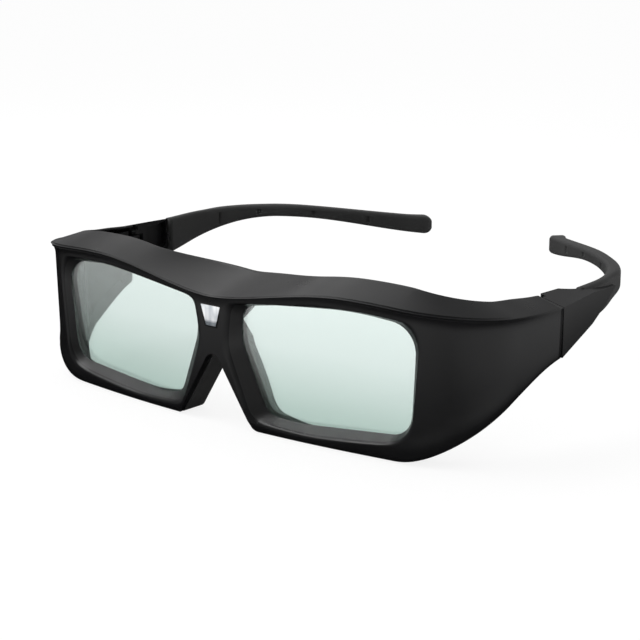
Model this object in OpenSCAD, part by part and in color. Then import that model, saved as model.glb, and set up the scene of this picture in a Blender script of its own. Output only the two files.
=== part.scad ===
// Active shutter 3D glasses: a wrap-round visor frame in two shells, two liquid crystal
// shutter lenses, and two folding temples with bendable arms.
// +X is the wearer's left, +Y runs back along the temples, +Z is up. Millimetres.

/* [Frame plan] */
// Distance from a lens opening's outer edge out to the hinge seam
side_w = 18.8; // [18:0.1:23]
// Distance from the front of the bridge back to the hinge seam
hinge_y = 45; // [40:0.5:52]
// Plan radius of the front face
front_radius = 406; // [300:1:600]
// Plan radius of the two front corners
corner_radius = 25; // [20:0.5:30]
// Angle by which each side spreads towards the back
side_lean = 6; // [3:0.5:9]
// Depth of the frame at the hinge seam, outer wall to inner wall
band_hinge = 8.4; // [8:0.1:10]
// Depth of the brow over the eyes
band_brow = 10.6; // [9:0.1:13]
// Depth of the brow over the nose
band_bridge = 20; // [16:0.5:24]
// Depth of the bridge below the brow
band_waist = 7.7; // [7.6:0.1:9]
// Depth of the frame's foot beside the nose
band_foot = 11; // [10:0.1:13]
// Depth of the frame behind the lenses
band_lens = 8.8; // [8.6:0.1:10]
// Thickness of the shell walls
wall = 1.6; // [1.2:0.1:2]

/* [Brow and lower edge] */
// Height of the brow's front edge over the nose
brow_z_bridge = 36; // [35.4:0.1:37.6]
// Height of the brow's front edge over the eyes
brow_z_eye = 41.4; // [40.6:0.1:44]
// Height of the brow's front edge at the hinge seam
brow_z_hinge = 37.2; // [36.6:0.1:38.6]
// Rise of the brow's top from its front edge to its rear edge
brow_rise = 3.7; // [2.5:0.1:4.2]
// Rise of the same top at the hinge seam
hinge_rise = 2.2; // [1.6:0.1:2.8]
// How far the brow's edge stands out over the face below it
brow_flare = 0.9; // [0.3:0.1:1.2]
// Height of the lower edge at the hinge seam
lower_z_hinge = 23.6; // [21.6:0.1:24.6]
// Set-back of the face under the brow's edge
face_in = 0.45; // [0.2:0.05:0.6]
// Set-back of the face near its foot
face_lean = 1.3; // [0.8:0.1:1.6]
// Set-back of the rounded foot itself
foot_in = 3.2; // [2.4:0.1:3.6]
// Plan distance from the middle to the brow's highest point
brow_peak = 45; // [40:1:50]
// Plan distance from the middle at which the lower edge starts to climb
climb_start = 57; // [52:1:60]
// Climb of the lower edge at the hinge seam, per millimetre
lower_slope = 0.22; // [0.1:0.01:0.35]

/* [Lens opening] */
// Gap between the two lens openings across the nose
bridge_gap = 16; // [15:0.2:18]
// Width of a lens opening
opening_w = 55.8; // [50:0.1:56.4]
// Crown of the opening's top edge, in from its outer edge
crown_in = 19.8; // [16:0.1:24]
// Height of a lens opening at its peak
opening_h = 32.8; // [28:0.1:33]
// Height of the opening's lowest point above the table
opening_z = 4.3; // [4:0.1:5.6]
// How far the opening's inner edge slants outwards at its foot
nose_slant = 8; // [7:0.1:9]
// How far the opening's outer edge slants inwards at its foot
outer_slant = 1.8; // [1.4:0.1:4]
// Fall of the opening's top towards the nose
brow_fall = 3.3; // [2:0.1:4]
// Rise of the opening's foot towards the side
foot_rise = 2.7; // [1:0.1:4]
// Angle by which each lens leans back at its foot
lens_tilt = 2.2; // [1:0.1:3]
// Angle by which each lens wraps round the face
lens_wrap = 4.4; // [3:0.2:6]
// Set-back of the lens plane behind the front, at the bridge
lens_y = 3.1; // [2.6:0.1:3.6]
// Width of the sloping bezel round an opening
bezel_w = 5; // [4:0.1:5.4]
// Depth of the sloping bezel
bezel_depth = 4.9; // [4.4:0.1:5.4]
// Overlap of the lens behind the edge of its opening
lens_lap = 1.6; // [1.2:0.1:1.8]
// Thickness of the liquid crystal cell
cell_t = 1.4; // [1:0.1:1.8]
// Thickness of each polariser
polariser_t = 0.25; // [0.2:0.05:0.4]
// Thickness of the foam gasket behind each lens
gasket_t = 0.6; // [0.4:0.1:1]

/* [Nose and sensor] */
// Width of the nose gap at the table
nose_w = 27.9; // [25.6:0.1:28.6]
// Height of the nose gap
nose_h = 19.7; // [17.6:0.1:20.6]
// Width across the rounded top of the nose gap
nose_top_w = 3.4; // [3.4:0.1:4.4]
// Radius of the corners at the top of the nose gap
nose_r = 2.9; // [2:0.1:3]
// Thickness of the rubber nose pad
pad_t = 1.6; // [1:0.1:2]
// Set-back of the nose pad behind the front
pad_y = 3.6; // [3.2:0.1:4.2]
// Depth of the nose pad
pad_depth = 7.8; // [6:0.2:8]
// Width of the sensor window along its top
window_top_w = 7.2; // [6.6:0.1:7.4]
// Width of the sensor window along its foot
window_foot_w = 3.7; // [3:0.1:4.4]
// Height of the sensor window
window_h = 5.8; // [5:0.1:6.2]
// Height of the window's middle above the table
window_z = 30.6; // [30.2:0.1:31]

/* [Temple] */
// Gap at the hinge seam
seam_gap = 0.3; // [0.2:0.05:0.5]
// Radius of the hinge barrel
barrel_r = 1.8; // [1.6:0.05:2]
// Radius of the hinge pin
pin_r = 0.7; // [0.5:0.05:0.8]
// Length of the temple base along its inner side
base_len = 19; // [18:0.5:22]
// Height of the lower edge where the arm leaves the temple base
base_z = 28.8; // [27.6:0.1:29.6]
// Length of the tail on the outside of the temple base
tail_len = 14.6; // [12:0.2:18]
// Height of the tail's lower edge at its tip
tail_z = 36.2; // [35:0.1:36.3]
// Straight length of the arm behind the temple base
arm_straight = 7; // [5:0.5:9]
// Plan radius of the arm's bend, on its middle line
arm_bend_r = 32; // [28:0.5:36]
// Angle of the arm's bend towards the head
arm_bend = 47.6; // [44:0.2:50]
// Straight length of the arm's tip
arm_tip_len = 58.2; // [50:0.2:60]
// Thickness of the arm
arm_t = 4; // [3.6:0.1:4.2]
// Height of the arm where it leaves the temple base
arm_root_h = 12.1; // [11:0.1:12.4]
// Height of the arm at its waist
arm_waist_h = 3.9; // [3.6:0.1:5]
// Height of the arm at its tip
arm_tip_h = 5.8; // [5:0.1:7]
// Height of the arm's middle line above the table, at its root
arm_root_z = 32.6; // [32.2:0.1:33]
// Height of the arm's middle line above the table, at its waist
arm_waist_z = 37.7; // [36.6:0.1:38.6]
// Height of the arm's middle line above the table, at its tip
arm_tip_z = 31.8; // [30:0.1:34]
// Outward swell at the tip of the arm
arm_tip_swell = 1.6; // [0:0.1:2]

// Thickness of the steel core inside the arm
core_t = 0.6; // [0.4:0.05:0.8]
// Height of the steel core
core_h = 2; // [1.6:0.1:2.4]

/* [Electronics] */
// Diameter of the coin cell
cell_d = 16; // [12.5:0.5:16]
// Thickness of the coin cell
cell_h = 2; // [1.6:0.1:2.4]
// Thickness of the circuit boards
board_t = 0.8; // [0.6:0.1:1]
// Thickness of the flexible cable
flex_t = 0.3; // [0.2:0.05:0.4]
// Radius of the case screws' shanks
screw_r = 0.8; // [0.6:0.05:0.9]
// Length of the case screws' shanks
screw_len = 5; // [4:0.1:5.2]
// Length of the battery door's screw
door_screw_len = 4; // [3:0.1:4.2]

/* [Hidden] */
xo = bridge_gap / 2 + opening_w + side_w;
gap = 0.1;

// Plan path of the outer face: front arc, corner arc and side line, by distance from the middle
lean_k = tan(side_lean);
ca = xo - lean_k * hinge_y - corner_radius / cos(side_lean);
cb = front_radius - ca * lean_k;
cc = 1 + lean_k * lean_k;
corner_y = (cb - sqrt(cb * cb - cc * (ca * ca + pow(front_radius, 2)
    - pow(front_radius - corner_radius, 2)))) / cc;
corner_x = ca + lean_k * corner_y;
corner_c = [corner_x, corner_y];
turn_1 = asin(corner_x / (front_radius - corner_radius));
turn_2 = 90 - side_lean;
s_1 = front_radius * turn_1 * PI / 180;
s_2 = s_1 + corner_radius * (turn_2 - turn_1) * PI / 180;
s_3 = s_2 + (hinge_y - corner_y + corner_radius * sin(side_lean)) / cos(side_lean);

function smooth(a, b, t) = let (u = min(1, max(0, (t - a) / (b - a)))) u * u * (3 - 2 * u);
function quick(a, b, t) = (smooth(a, b, t) + sin(90 * min(1, max(0, (t - a) / (b - a))))) / 2;
function mix(a, b, u) = a + (b - a) * u;
function turn(s) = s < s_1 ? s / front_radius * 180 / PI
    : min(turn_2, turn_1 + (s - s_1) / corner_radius * 180 / PI);
function spot(s) = s < s_1 ? front_radius * [sin(turn(s)), 1 - cos(turn(s))]
    : corner_c + corner_radius * [sin(turn(s)), -cos(turn(s))]
    + max(0, s - s_2) * [cos(turn_2), sin(turn_2)];

// Heights and depths of the frame along the path
function brow_z(s) = s < brow_peak ? mix(brow_z_bridge, brow_z_eye, quick(0, brow_peak, s))
    : mix(brow_z_eye, brow_z_hinge, smooth(brow_peak, s_3 - 4, s));
function rise(s) = mix(brow_rise, hinge_rise, smooth(s_1 - 5, s_2 + 6, s));
function band(s) = band_hinge + (band_brow - band_hinge) * (1 - smooth(s_1 - 5, s_2 + 4, s))
    + (band_bridge - band_brow) * (1 - smooth(4, 33, s));
function foot_band(s) = mix(mix(band_foot, band_lens + 0.8, smooth(12, 32, s)), band(s),
    smooth(s_1 + 6, s_2 - 8, s));
function waist_band(s) = mix(mix(band_waist, band_lens, smooth(9, 45, s)), band(s),
    smooth(s_1 + 6, s_2 - 8, s)) - 0.15 * smooth(s_2 + 13, s_3, s);
function waist_z(s) = mix(lower_z(s), brow_z(s), 0.8);
function lip_z(s) = top_z(s, band(s)) - 4.4;
function top_z(s, d) = brow_z(s) + rise(s) * d / band(s);
function lower_z(s) = let (l = s_3 - climb_start, u = min(1, max(0, (s - climb_start) / l)))
    lower_z_hinge * u * u * (3 - 2 * u) + lower_slope * l * u * u * (u - 1);
function lean(s) = 1 - 0.85 * smooth(s_1 + 4, s_2 + 8, s);
function flare(s) = brow_flare * (0.4 + 0.6 * smooth(25, s_1, s)) * (1 - 0.85 * smooth(s_2 - 14, s_3, s));

// A solid swept along the path from one distance to another; its section is a list of
// [depth from the outer face, height]
function ring(s, section) = let (a = abs(s), n = [-sin(turn(a)), cos(turn(a))])
    [for (q = section) let (p = spot(a) + q[0] * n) [s < 0 ? -p[0] : p[0], p[1], q[1]]];
function steps(a, b) = let (n = ceil((b - a) / 3)) [for (i = [0:n]) a + (b - a) * i / n];
module loft(rings) {
    n = len(rings[0]);
    m = len(rings);
    polyhedron(points = [for (r = rings) each r], faces = concat(
        [[for (k = [n - 1:-1:0]) k]],
        [for (i = [0:m - 2], k = [0:n - 1])
            [i * n + k, (i + 1) * n + (k + 1) % n, (i + 1) * n + k]],
        [for (i = [0:m - 2], k = [0:n - 1])
            [i * n + k, i * n + (k + 1) % n, (i + 1) * n + (k + 1) % n]],
        [[for (k = [0:n - 1]) (m - 1) * n + k]]));
}
module on_path(s, d, z) translate(concat(spot(s), z)) rotate([0, 0, turn(s)])
    translate([0, d, 0]) children();
module inward(h, r) rotate([-90, 0, 0]) cylinder(h = h, r = r, $fn = 32);

// Rounded outlines: corners are [x, y, radius]
function unit(v) = v / norm(v);
function xy(p) = [p[0], p[1]];
function bent(p, v, q) = let (a = unit(xy(p) - xy(v)), b = unit(xy(q) - xy(v)), half = acos(a * b) / 2,
    c = xy(v) + unit(a + b) * v[2] / sin(half), w = 90 - half, m = -unit(a + b),
    side = a[0] * b[1] - a[1] * b[0] < 0 ? 1 : -1, n = max(2, ceil(w / 7)))
    v[2] == 0 ? [xy(v)] : [for (i = [-n:n]) let (t = side * w * i / n)
        c + v[2] * [m[0] * cos(t) - m[1] * sin(t), m[0] * sin(t) + m[1] * cos(t)]];
function rounded(pts) = let (n = len(pts))
    [for (i = [0:n - 1]) each bent(pts[(i + n - 1) % n], pts[i], pts[(i + 1) % n])];
function normal(p, q) = let (u = unit(xy(q) - xy(p))) [u[1], -u[0]];
function grown(pts, g) = let (n = len(pts)) [for (i = [0:n - 1])
    let (v = pts[i], a = normal(pts[(i + n - 1) % n], v), b = normal(v, pts[(i + 1) % n]))
    concat(xy(v) + g * (a + b) / (1 + a * b), max(0, v[2] + g))];
module slab(y0, y1, pts) translate([0, y1, 0]) rotate([90, 0, 0]) linear_extrude(y1 - y0) polygon(pts);

// Outline of a lens opening and of the bezel's rim round it, anticlockwise from the inner foot
x0 = bridge_gap / 2;
x1 = x0 + opening_w;
z1 = opening_z + opening_h;
opening = [[x0 + nose_slant, opening_z + 0.6, 5], [x0 + nose_slant + 10, opening_z - 0.2, 60],
    [x1 - outer_slant, opening_z + foot_rise, 6], [x1 + 0.3, z1 - 1.4, 7.5], [x1 - crown_in, z1 + 0.3, 100],
    [x0 + 14, z1 - 1.4, 70], [x0 + 1.6, z1 - brow_fall, 4], [x0 - 0.1, z1 - brow_fall - 8.8, 14]];
rim = [[x0 + nose_slant - bezel_w + 0.2, opening_z - 1.5, 5], [x0 + nose_slant + 14, opening_z - 2.3, 60],
    [x1 - outer_slant + 1.2, opening_z + 0.2, 10], [x1 + bezel_w + 0.8, z1 + 1.6, 6],
    [x1 - crown_in, z1 + 2.2, 150], [x0 - bezel_w + 1, z1 - 1.7, 3], [x0 - bezel_w - 1.2, z1 - 14.5, 10]];
function outline(g) = rounded(grown(opening, g));
module at_lens() translate([0, lens_y, z1 - 3]) rotate([lens_tilt, 0, lens_wrap])
    translate([0, 0, 3 - z1]) children();
module sides() {
    children();
    mirror([1, 0, 0]) children();
}

// Nose gap, from under the table up, with rounded feet
nose_side = norm([(nose_w - nose_top_w) / 2, nose_h]);
function nose(g) = let (k = nose_side / nose_h, m = k - (nose_w - nose_top_w) / 2 / nose_h,
    x = nose_w / 2 + g * k, t = nose_top_w / 2 + g * m) rounded([[-26, -2, 0], [26, -2, 0],
    [26, 0, 0], [x, 0, 2.6], [t, nose_h + g, nose_r + g], [-t, nose_h + g, nose_r + g],
    [-x, 0, 2.6], [-26, 0, 0]]);

// Sensor window, square to the leaning front face of the bridge
window_tilt = atan((face_lean - face_in) / (brow_z_bridge - 7));
window_y = face_in + (brow_z_bridge - 3 - window_z) * tan(window_tilt);
function window(g) = let (h = window_h / 2) [[-window_foot_w / 2 - g, -h - g],
    [window_foot_w / 2 + g, -h - g], [window_top_w / 2 + g, h + g], [-window_top_w / 2 - g, h + g]];
module at_window() translate([0, window_y, window_z]) rotate([window_tilt, 0, 0]) children();
board_y = lens_y + 1.9;

// Lens stack, measured back from the bezel's seat; a layer of clear bond lies between the sheets
bond = 0.03;
stack_1 = 0.05;
stack_2 = stack_1 + polariser_t + bond;
stack_3 = stack_2 + cell_t + bond;
stack_4 = stack_3 + polariser_t + bond;
stack_5 = stack_4 + gasket_t;

// Places of the screws, the coin cell and the controller board along the path
screw_s = mix(s_1, s_2, 0.42);
screw_z = [11.6, 31.6];
seat_d = waist_band(screw_s);
cell_s = s_2 - 1.6;
cell_z = 26.6;
cell_y = 5.2;
door_screw_s = cell_s + cell_d / 2 + 3.2;
door_screw_z = 30.1;
door_s = [cell_s - cell_d / 2 - 1.2, door_screw_s + 2.6];
board_s = cell_s;
board_z = 27.6;
board_d = 4.4;

// Hinge and temple
flange_t = 2.2;
pivot_x = xo - band_hinge + barrel_r;
pivot_y = hinge_y + seam_gap + barrel_r;
lug_h = 2.8;
lug_z = [26.5, 32.9];
bore_r = pin_r + 0.02;
base_y = hinge_y + base_len;
tail_y = base_y + tail_len;
arm_x = xo - band_hinge + 0.8;
arm_root_t = arm_t - 1;
bend_x = arm_x + arm_t / 2 - arm_bend_r;
bend_y = base_y + arm_straight;
arm_arc = arm_bend_r * arm_bend * PI / 180;
arm_len = arm_straight + arm_arc + arm_tip_len;
arm_waist = arm_straight + arm_arc * 1.25;
tail_x = bend_x + arm_bend_r + 1.0;
pocket_z = brow_z_hinge + hinge_rise - 1.7;
board_w = 16;
board_h = 12;
top_slope = hinge_rise / band_hinge;

// Middle line of the arm by distance from the temple base, and its rounded section
function arm_turn(s) = min(arm_bend, max(0, s - arm_straight) / arm_bend_r * 180 / PI);
function arm_spot(s) = let (a = arm_turn(s)) [bend_x, bend_y] + arm_bend_r * [cos(a), sin(a)]
    + (s < arm_straight ? [0, s - arm_straight] : max(0, s - arm_straight - arm_arc) * [-sin(a), cos(a)]);
function arm_h(s) = s < arm_waist ? mix(arm_root_h, arm_waist_h, quick(-6, arm_waist, s))
    : mix(arm_waist_h, arm_tip_h, smooth(arm_waist + 10, arm_len, s));
function arm_z(s) = s < arm_waist ? mix(arm_root_z, arm_waist_z, quick(-4, arm_waist, s))
    : mix(arm_waist_z, arm_tip_z, smooth(arm_waist - 2, arm_len + 9, s));
function arm_end(s) = let (e = max(0, s - arm_len + 3) / 3) sqrt(max(0.04, 1 - e * e));
function arm_out(s) = mix(arm_root_t - arm_t / 2, arm_t / 2,
    smooth(tail_y - base_y, tail_y - base_y + 8, s))
    + arm_tip_swell * smooth(arm_len - 9, arm_len - 1, s);
function arm_ring(s, a, b, h, r) = let (w = arm_turn(s), p = arm_spot(s), z = arm_z(s))
    [for (k = [0:3], i = [0:2]) let (q = k * 90 + i * 45, cu = (k == 0 || k == 3 ? b - r : a + r),
        cz = (k < 2 ? 1 : -1) * (h / 2 - r), u = cu + r * cos(q), v = z + cz + r * sin(q))
        [p[0] + u * cos(w), p[1] + u * sin(w), v]];
arm_steps = concat([for (i = [0:16]) (arm_straight + arm_arc) * i / 16],
    [for (i = [1:10]) arm_straight + arm_arc + (arm_tip_len - 3) * i / 10],
    [for (i = [1:4]) arm_len - 3 + 3 * sin(i * 22.5)]);
arm_rings = [for (s = arm_steps) let (e = arm_end(s), m = (arm_out(s) - arm_t / 2) / 2,
    w = (arm_out(s) + arm_t / 2) / 2)
    arm_ring(s, m - w * e, m + w * e, arm_h(s) * mix(0.45, 1, e), min(1.3, w * e * 0.9))];
core_u = arm_root_t / 2 - arm_t / 2 - core_t / 2;
core_len = arm_len - 8;
core_rings = [for (s = concat([-1.8], [for (i = [1:24]) core_len * i / 24]))
    let (w = arm_turn(s), p = arm_spot(max(s, 0)) + [0, min(s, 0)], z = arm_z(s), h = core_h / 2)
    [for (q = [[core_u + core_t, h], [core_u, h], [core_u, -h], [core_u + core_t, -h]])
        [p[0] + q[0] * cos(w), p[1] + q[0] * sin(w), z + q[1]]]];
mid_y = (max([for (r = arm_rings, p = r) p[1]]) - flare(0)) / 2;
module place() translate([0, -mid_y, 0]) children();

// Frame: two shells that meet along the rear edge of the brow and rims
module frame_volume(s_end) loft([for (s = steps(-s_end, s_end))
    let (a = abs(s), b = band(a), f = foot_band(a), k = lean(a), lo = lower_z(a))
    ring(s, [[-flare(a), brow_z(a)], [b - 0.4, top_z(a, b - 0.4)], [b, top_z(a, b) - 0.5], [b, lip_z(a)],
        [waist_band(a), waist_z(a)], [f, lo + 0.6], [f - 0.6, lo], [foot_in * k, lo],
        [mix(face_lean, foot_in, 0.35) * k, lo + 1.4], [face_lean * k, lo + 4],
        [face_in * k, brow_z(a) - 3]])]);
module frame_hollow(s_end, depth) loft([for (s = steps(-s_end, s_end))
    let (a = abs(s), d = band(a) + depth, lo = lower_z(a) + wall, f = wall + face_in * lean(a))
    ring(s, [[f, top_z(a, f) - wall], [d, top_z(a, d) - wall], [d, lip_z(a)],
        [waist_band(a) + depth, waist_z(a)], [foot_band(a) + depth, lo], [0.8 + foot_in * lean(a), lo],
        [wall + face_lean * lean(a), lo + 3]])]);
module bezel(g, y) hull() {
    slab(-bezel_depth - 8, -bezel_depth, rounded(grown(rim, g)));
    slab(y - 0.4, y, outline(g > 0 ? lens_lap + 0.3 : 0));
}
module behind_seam(y) translate([-xo - 20, y, -10]) cube([2 * xo + 40, 40, 80]);
module bosses(from, to, r) for (z = screw_z) sides() on_path(screw_s, from, z) inward(to - from, r);

module front_shell() color("dimgray") place() difference() {
    frame_volume(s_3 + 2);
    difference() {
        frame_hollow(s_3 + 4, 2);
        sides() at_lens() bezel(1.1, 0);
        slab(-2, band_bridge + 4, nose(pad_t + 1.2));
        bosses(0, seat_d - wall - gap, 2.1);
        on_path(door_screw_s, 0, door_screw_z) inward(band(door_screw_s) - wall - gap, 1.5);
        on_path(cell_s, 0, cell_z) for (x = [-4, 4]) translate([x, 0, 0])
            inward(cell_y - cell_h / 2 - 0.3, 1.2);
        mirror([1, 0, 0]) on_path(board_s, 0, board_z) for (x = [-5, 5]) translate([x, 0, 0])
            inward(board_d, 1.2);
        sides() translate([3, 0, window_z - window_h]) inward(board_y, 0.9);
    }
    sides() at_lens() bezel(0, 0.1);
    slab(-2, pad_y, nose(0));
    slab(pad_y, band_bridge + 6, nose(pad_t));
    at_window() slab(-2, 6, window(0.05));
    bosses(wall + 0.6, 20, screw_r + 0.02);
    on_path(door_screw_s, wall + 0.6, door_screw_z) inward(10, 0.62);
    behind_seam(hinge_y);
}

function plate(a) = let (b = band(a), w = waist_band(a), f = foot_band(a),
    lo = lower_z(a) + wall + 3 * gap)
    [[b - wall, top_z(a, b - wall) - wall - gap], [b, top_z(a, b) - wall - gap], [b, lip_z(a)],
        [w, waist_z(a)], [f, lo], [f - wall, lo], [w - wall, waist_z(a) + 0.3],
        [b - wall, lip_z(a) + 0.5]];
function door(a, g) = let (b = band(a), lo = lower_z(a) + wall + 1.6 - g,
    hi = top_z(a, b) - wall - 1.8 + g)
    [[b - wall - g, hi], [b + g, hi], [b + g, lo], [b - wall - g, lo]];
module rear_shell() color("dimgray") place() difference() {
    union() {
        loft([for (s = steps(-s_3 - 2, s_3 + 2)) ring(s, plate(abs(s)))]);
        intersection() {
            frame_hollow(s_2, -0.5);
            sides() at_lens() slab(stack_5, 30, outline(1.6));
        }
    }
    sides() at_lens() slab(-10, stack_5, outline(lens_lap + 0.3));
    sides() at_lens() slab(-10, 40, outline(0.4));
    slab(-2, 40, nose(pad_t + 1.2 + gap));
    bosses(0, 20, screw_r + 0.2);
    bosses(seat_d - 1, 30, 1.8);
    loft([for (s = steps(door_s[0] - gap, door_s[1] + gap)) ring(s, door(s, gap))]);
    behind_seam(hinge_y - flange_t - gap);
}

// Nose and sensor
module nose_pad() color("black") place() difference() {
    slab(pad_y, pad_y + pad_depth, nose(pad_t));
    slab(pad_y - 1, pad_y + pad_depth + 1, nose(-0.2));
    translate([-50, 0, -10]) cube([100, 40, 10.4]);
}
module sensor_window() color("white") place() at_window() {
    slab(0.15, wall + 0.3, window(0));
    slab(wall + 0.3, wall + 0.7, window(0.5));
}
module ir_receiver() color("black") place() {
    translate([-2.2, board_y - 1.6, window_z - 2.4]) cube([4.4, 1.6, 4.8]);
    translate([0, board_y - 1.6, window_z]) rotate([90, 0, 0]) cylinder(h = 0.4, r = 1.4, $fn = 32);
}
module sensor_board() color("green") place() difference() {
    translate([-4.4, board_y, window_z - window_h - 1.2]) cube([8.8, board_t, 9.6]);
    for (x = [-3, 3]) translate([x, board_y - 1, window_z - window_h]) inward(4, 0.4);
}

// Lens stack: polariser, liquid crystal cell, polariser, foam gasket
module shutter_cell() at_lens() slab(stack_2, stack_3 - bond, outline(lens_lap));
module front_polariser() at_lens() slab(stack_1, stack_2 - bond, outline(lens_lap - 0.3));
module rear_polariser() at_lens() slab(stack_3, stack_4 - bond, outline(lens_lap - 0.3));
module lens_gasket() at_lens() difference() {
    slab(stack_4, stack_5, outline(1.6));
    slab(stack_4 - 1, stack_5 + 1, outline(0.4));
}
module shutter_cell_left() color("honeydew") place() shutter_cell();
module shutter_cell_right() color("honeydew") place() mirror([1, 0, 0]) shutter_cell();
module front_polariser_left() color("lightgray") place() front_polariser();
module front_polariser_right() color("lightgray") place() mirror([1, 0, 0]) front_polariser();
module rear_polariser_left() color("lightgray") place() rear_polariser();
module rear_polariser_right() color("lightgray") place() mirror([1, 0, 0]) rear_polariser();
module lens_gasket_left() color("black") place() lens_gasket();
module lens_gasket_right() color("black") place() mirror([1, 0, 0]) lens_gasket();

// Electronics
module flex_cable() color("orange") place() loft([for (s = steps(-s_2, s_2))
    let (a = abs(s), d = band(a) - wall - 0.05, z = top_z(a, d) - wall)
    ring(s, [[d - flex_t, z - 0.5], [d, z - 0.5], [d, z - 1.9], [d - flex_t, z - 1.9]])]);
module controller_board() color("green") place() mirror([1, 0, 0]) on_path(board_s, board_d, board_z)
    translate([-board_w / 2, 0, -board_h / 2]) cube([board_w, board_t, board_h]);
module board_components() color("black") place() mirror([1, 0, 0])
    on_path(board_s, board_d + board_t, board_z) {
        translate([-6, 0, -2.5]) cube([5, 0.9, 5]);
        translate([3.2, 0, 2]) inward(1.3, 2);
        translate([1.6, 0, -4.6]) cube([3.2, 1.2, 1.8]);
    }
module coin_cell() color("silver") place() on_path(cell_s, cell_y - cell_h / 2, cell_z) {
    inward(cell_h * 0.8, cell_d / 2);
    translate([0, cell_h * 0.8, 0]) inward(cell_h * 0.2, cell_d / 2 - 1);
}
module contact_negative() color("gold") place() on_path(cell_s, cell_y - cell_h / 2 - 0.3, cell_z)
    translate([-6, 0, -2]) cube([12, 0.3, 4]);
module contact_positive() color("gold") place() on_path(cell_s, cell_y + cell_h / 2, cell_z) {
    translate([-4, 0, -2]) cube([8, 0.3, 4]);
    translate([0, 0.3, 0]) inward(band(cell_s) - wall - cell_y - cell_h / 2 - 0.35, 1.5);
}
module battery_door() color("dimgray") place() difference() {
    loft([for (s = steps(door_s[0], door_s[1])) ring(s, door(s, 0))]);
    on_path(door_screw_s, 0, door_screw_z) inward(20, 0.8);
    on_path(door_screw_s, band(door_screw_s) - 0.9, door_screw_z) inward(10, 1.5);
}

// Fasteners
module screw(len, r, head_r, head_h) {
    inward(len, r);
    difference() {
        translate([0, len, 0]) inward(head_h, head_r);
        for (q = [0, 90]) translate([0, len + head_h, 0]) rotate([0, q, 0])
            cube([1.5 * head_r, 0.8, 0.4], center = true);
    }
}
module battery_door_screw() color("silver") place()
    on_path(door_screw_s, band(door_screw_s) - 0.9 - door_screw_len, door_screw_z)
    screw(door_screw_len, 0.6, 1.3, 0.8);
module case_screws() color("silver") place()
    for (z = screw_z) sides() on_path(screw_s, seat_d - 1 - screw_len, z)
        screw(screw_len, screw_r, 1.6, 0.9);

// Hinge: a block in the end of the frame with two lugs, a pin, and the knuckle of the temple base
module hinge_block() difference() {
    union() {
        translate([xo - band_hinge + 0.1, hinge_y - flange_t, lug_z[0] - 1])
            cube([band_hinge - wall - 1.7, flange_t, lug_z[1] + lug_h - lug_z[0] + 1]);
        translate([pivot_x + 0.6, hinge_y - flange_t - 3.6, lug_z[0]])
            cube([3, 4, lug_z[1] + lug_h - lug_z[0]]);
        for (z = lug_z) {
            translate([pivot_x - barrel_r, hinge_y - 1, z])
                cube([2 * barrel_r, pivot_y - hinge_y + 1, lug_h]);
            translate([pivot_x, pivot_y, z]) cylinder(h = lug_h, r = barrel_r, $fn = 48);
        }
    }
    translate([pivot_x, pivot_y, 0]) cylinder(h = 60, r = bore_r, $fn = 32);
}
module hinge_pin() translate([pivot_x, pivot_y, lug_z[0] - 1.4])
    cylinder(h = lug_z[1] + lug_h - lug_z[0] + 1.4, r = pin_r, $fn = 32);
module hinge_block_left() color("dimgray") place() hinge_block();
module hinge_block_right() color("dimgray") place() mirror([1, 0, 0]) hinge_block();
module hinge_pin_left() color("silver") place() hinge_pin();
module hinge_pin_right() color("silver") place() mirror([1, 0, 0]) hinge_pin();

// Temple: rigid base with a tail along its outside, rubber arm, steel core
module base_plan() difference() {
    polygon([[pivot_x, hinge_y + seam_gap], [xo, hinge_y + seam_gap], [tail_x + 0.3, tail_y],
        [tail_x - 4, tail_y], [tail_x - 4, base_y], [xo - band_hinge, base_y],
        [xo - band_hinge, pivot_y], [pivot_x, pivot_y]]);
    translate([bend_x, bend_y]) circle(r = arm_bend_r + arm_root_t - arm_t / 2, $fn = 180);
    translate([xo - band_hinge - 1, base_y])
        square([arm_x + arm_root_t - xo + band_hinge + 1, arm_straight]);
}
module base_side(x, w, pts) translate([x, 0, 0]) rotate([90, 0, 90]) linear_extrude(w) polygon(pts);
module temple_base() difference() {
    union() {
        intersection() {
            linear_extrude(60) base_plan();
            base_side(xo - 20, 30, [[hinge_y - 5, lower_z_hinge - 1], [hinge_y, lower_z_hinge],
                [base_y, base_z], [base_y + tail_len * 0.6, mix(base_z, tail_z, 0.52)], [tail_y, tail_z],
                [tail_y + 5, tail_z + 2], [tail_y + 5, 50], [hinge_y - 5, 50]]);
        }
        translate([pivot_x, pivot_y, lug_z[0] - 2])
            cylinder(h = lug_z[1] + lug_h - lug_z[0] + 3.6, r = barrel_r, $fn = 48);
    }
    translate([xo, hinge_y, brow_z_hinge]) rotate([-1.3, atan(top_slope), 0]) translate([-40, -20, 0])
        cube([60, 80, 30]);
    translate([tail_x, base_y, brow_z_hinge + 0.8]) rotate([-6, atan(top_slope), 0])
        translate([-3, 0, 0]) cube([20, 40, 20]);
    for (z = lug_z) translate([pivot_x - 10, pivot_y - 10, z - seam_gap])
        cube([10 + barrel_r + seam_gap, 10 + barrel_r + seam_gap, lug_h + 2 * seam_gap]);
    base_side(xo - band_hinge - 1, band_hinge - 2.9, [[pivot_y + 3.6, lower_z_hinge + 3],
        [base_y - 2, base_z + 1.4], [base_y - 2, pocket_z], [pivot_y + 3.6, pocket_z]]);
    translate([pivot_x, pivot_y, 0]) cylinder(h = lug_z[1] + lug_h, r = pin_r + 0.06, $fn = 32);
    loft(core_rings);
}
module temple_arm() difference() {
    loft(arm_rings);
    loft(core_rings);
}
module temple_base_left() color("dimgray") place() temple_base();
module temple_base_right() color("dimgray") place() mirror([1, 0, 0]) temple_base();
module temple_arm_left() color("black") place() temple_arm();
module temple_arm_right() color("black") place() mirror([1, 0, 0]) temple_arm();
module arm_core_left() color("silver") place() loft(core_rings);
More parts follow.
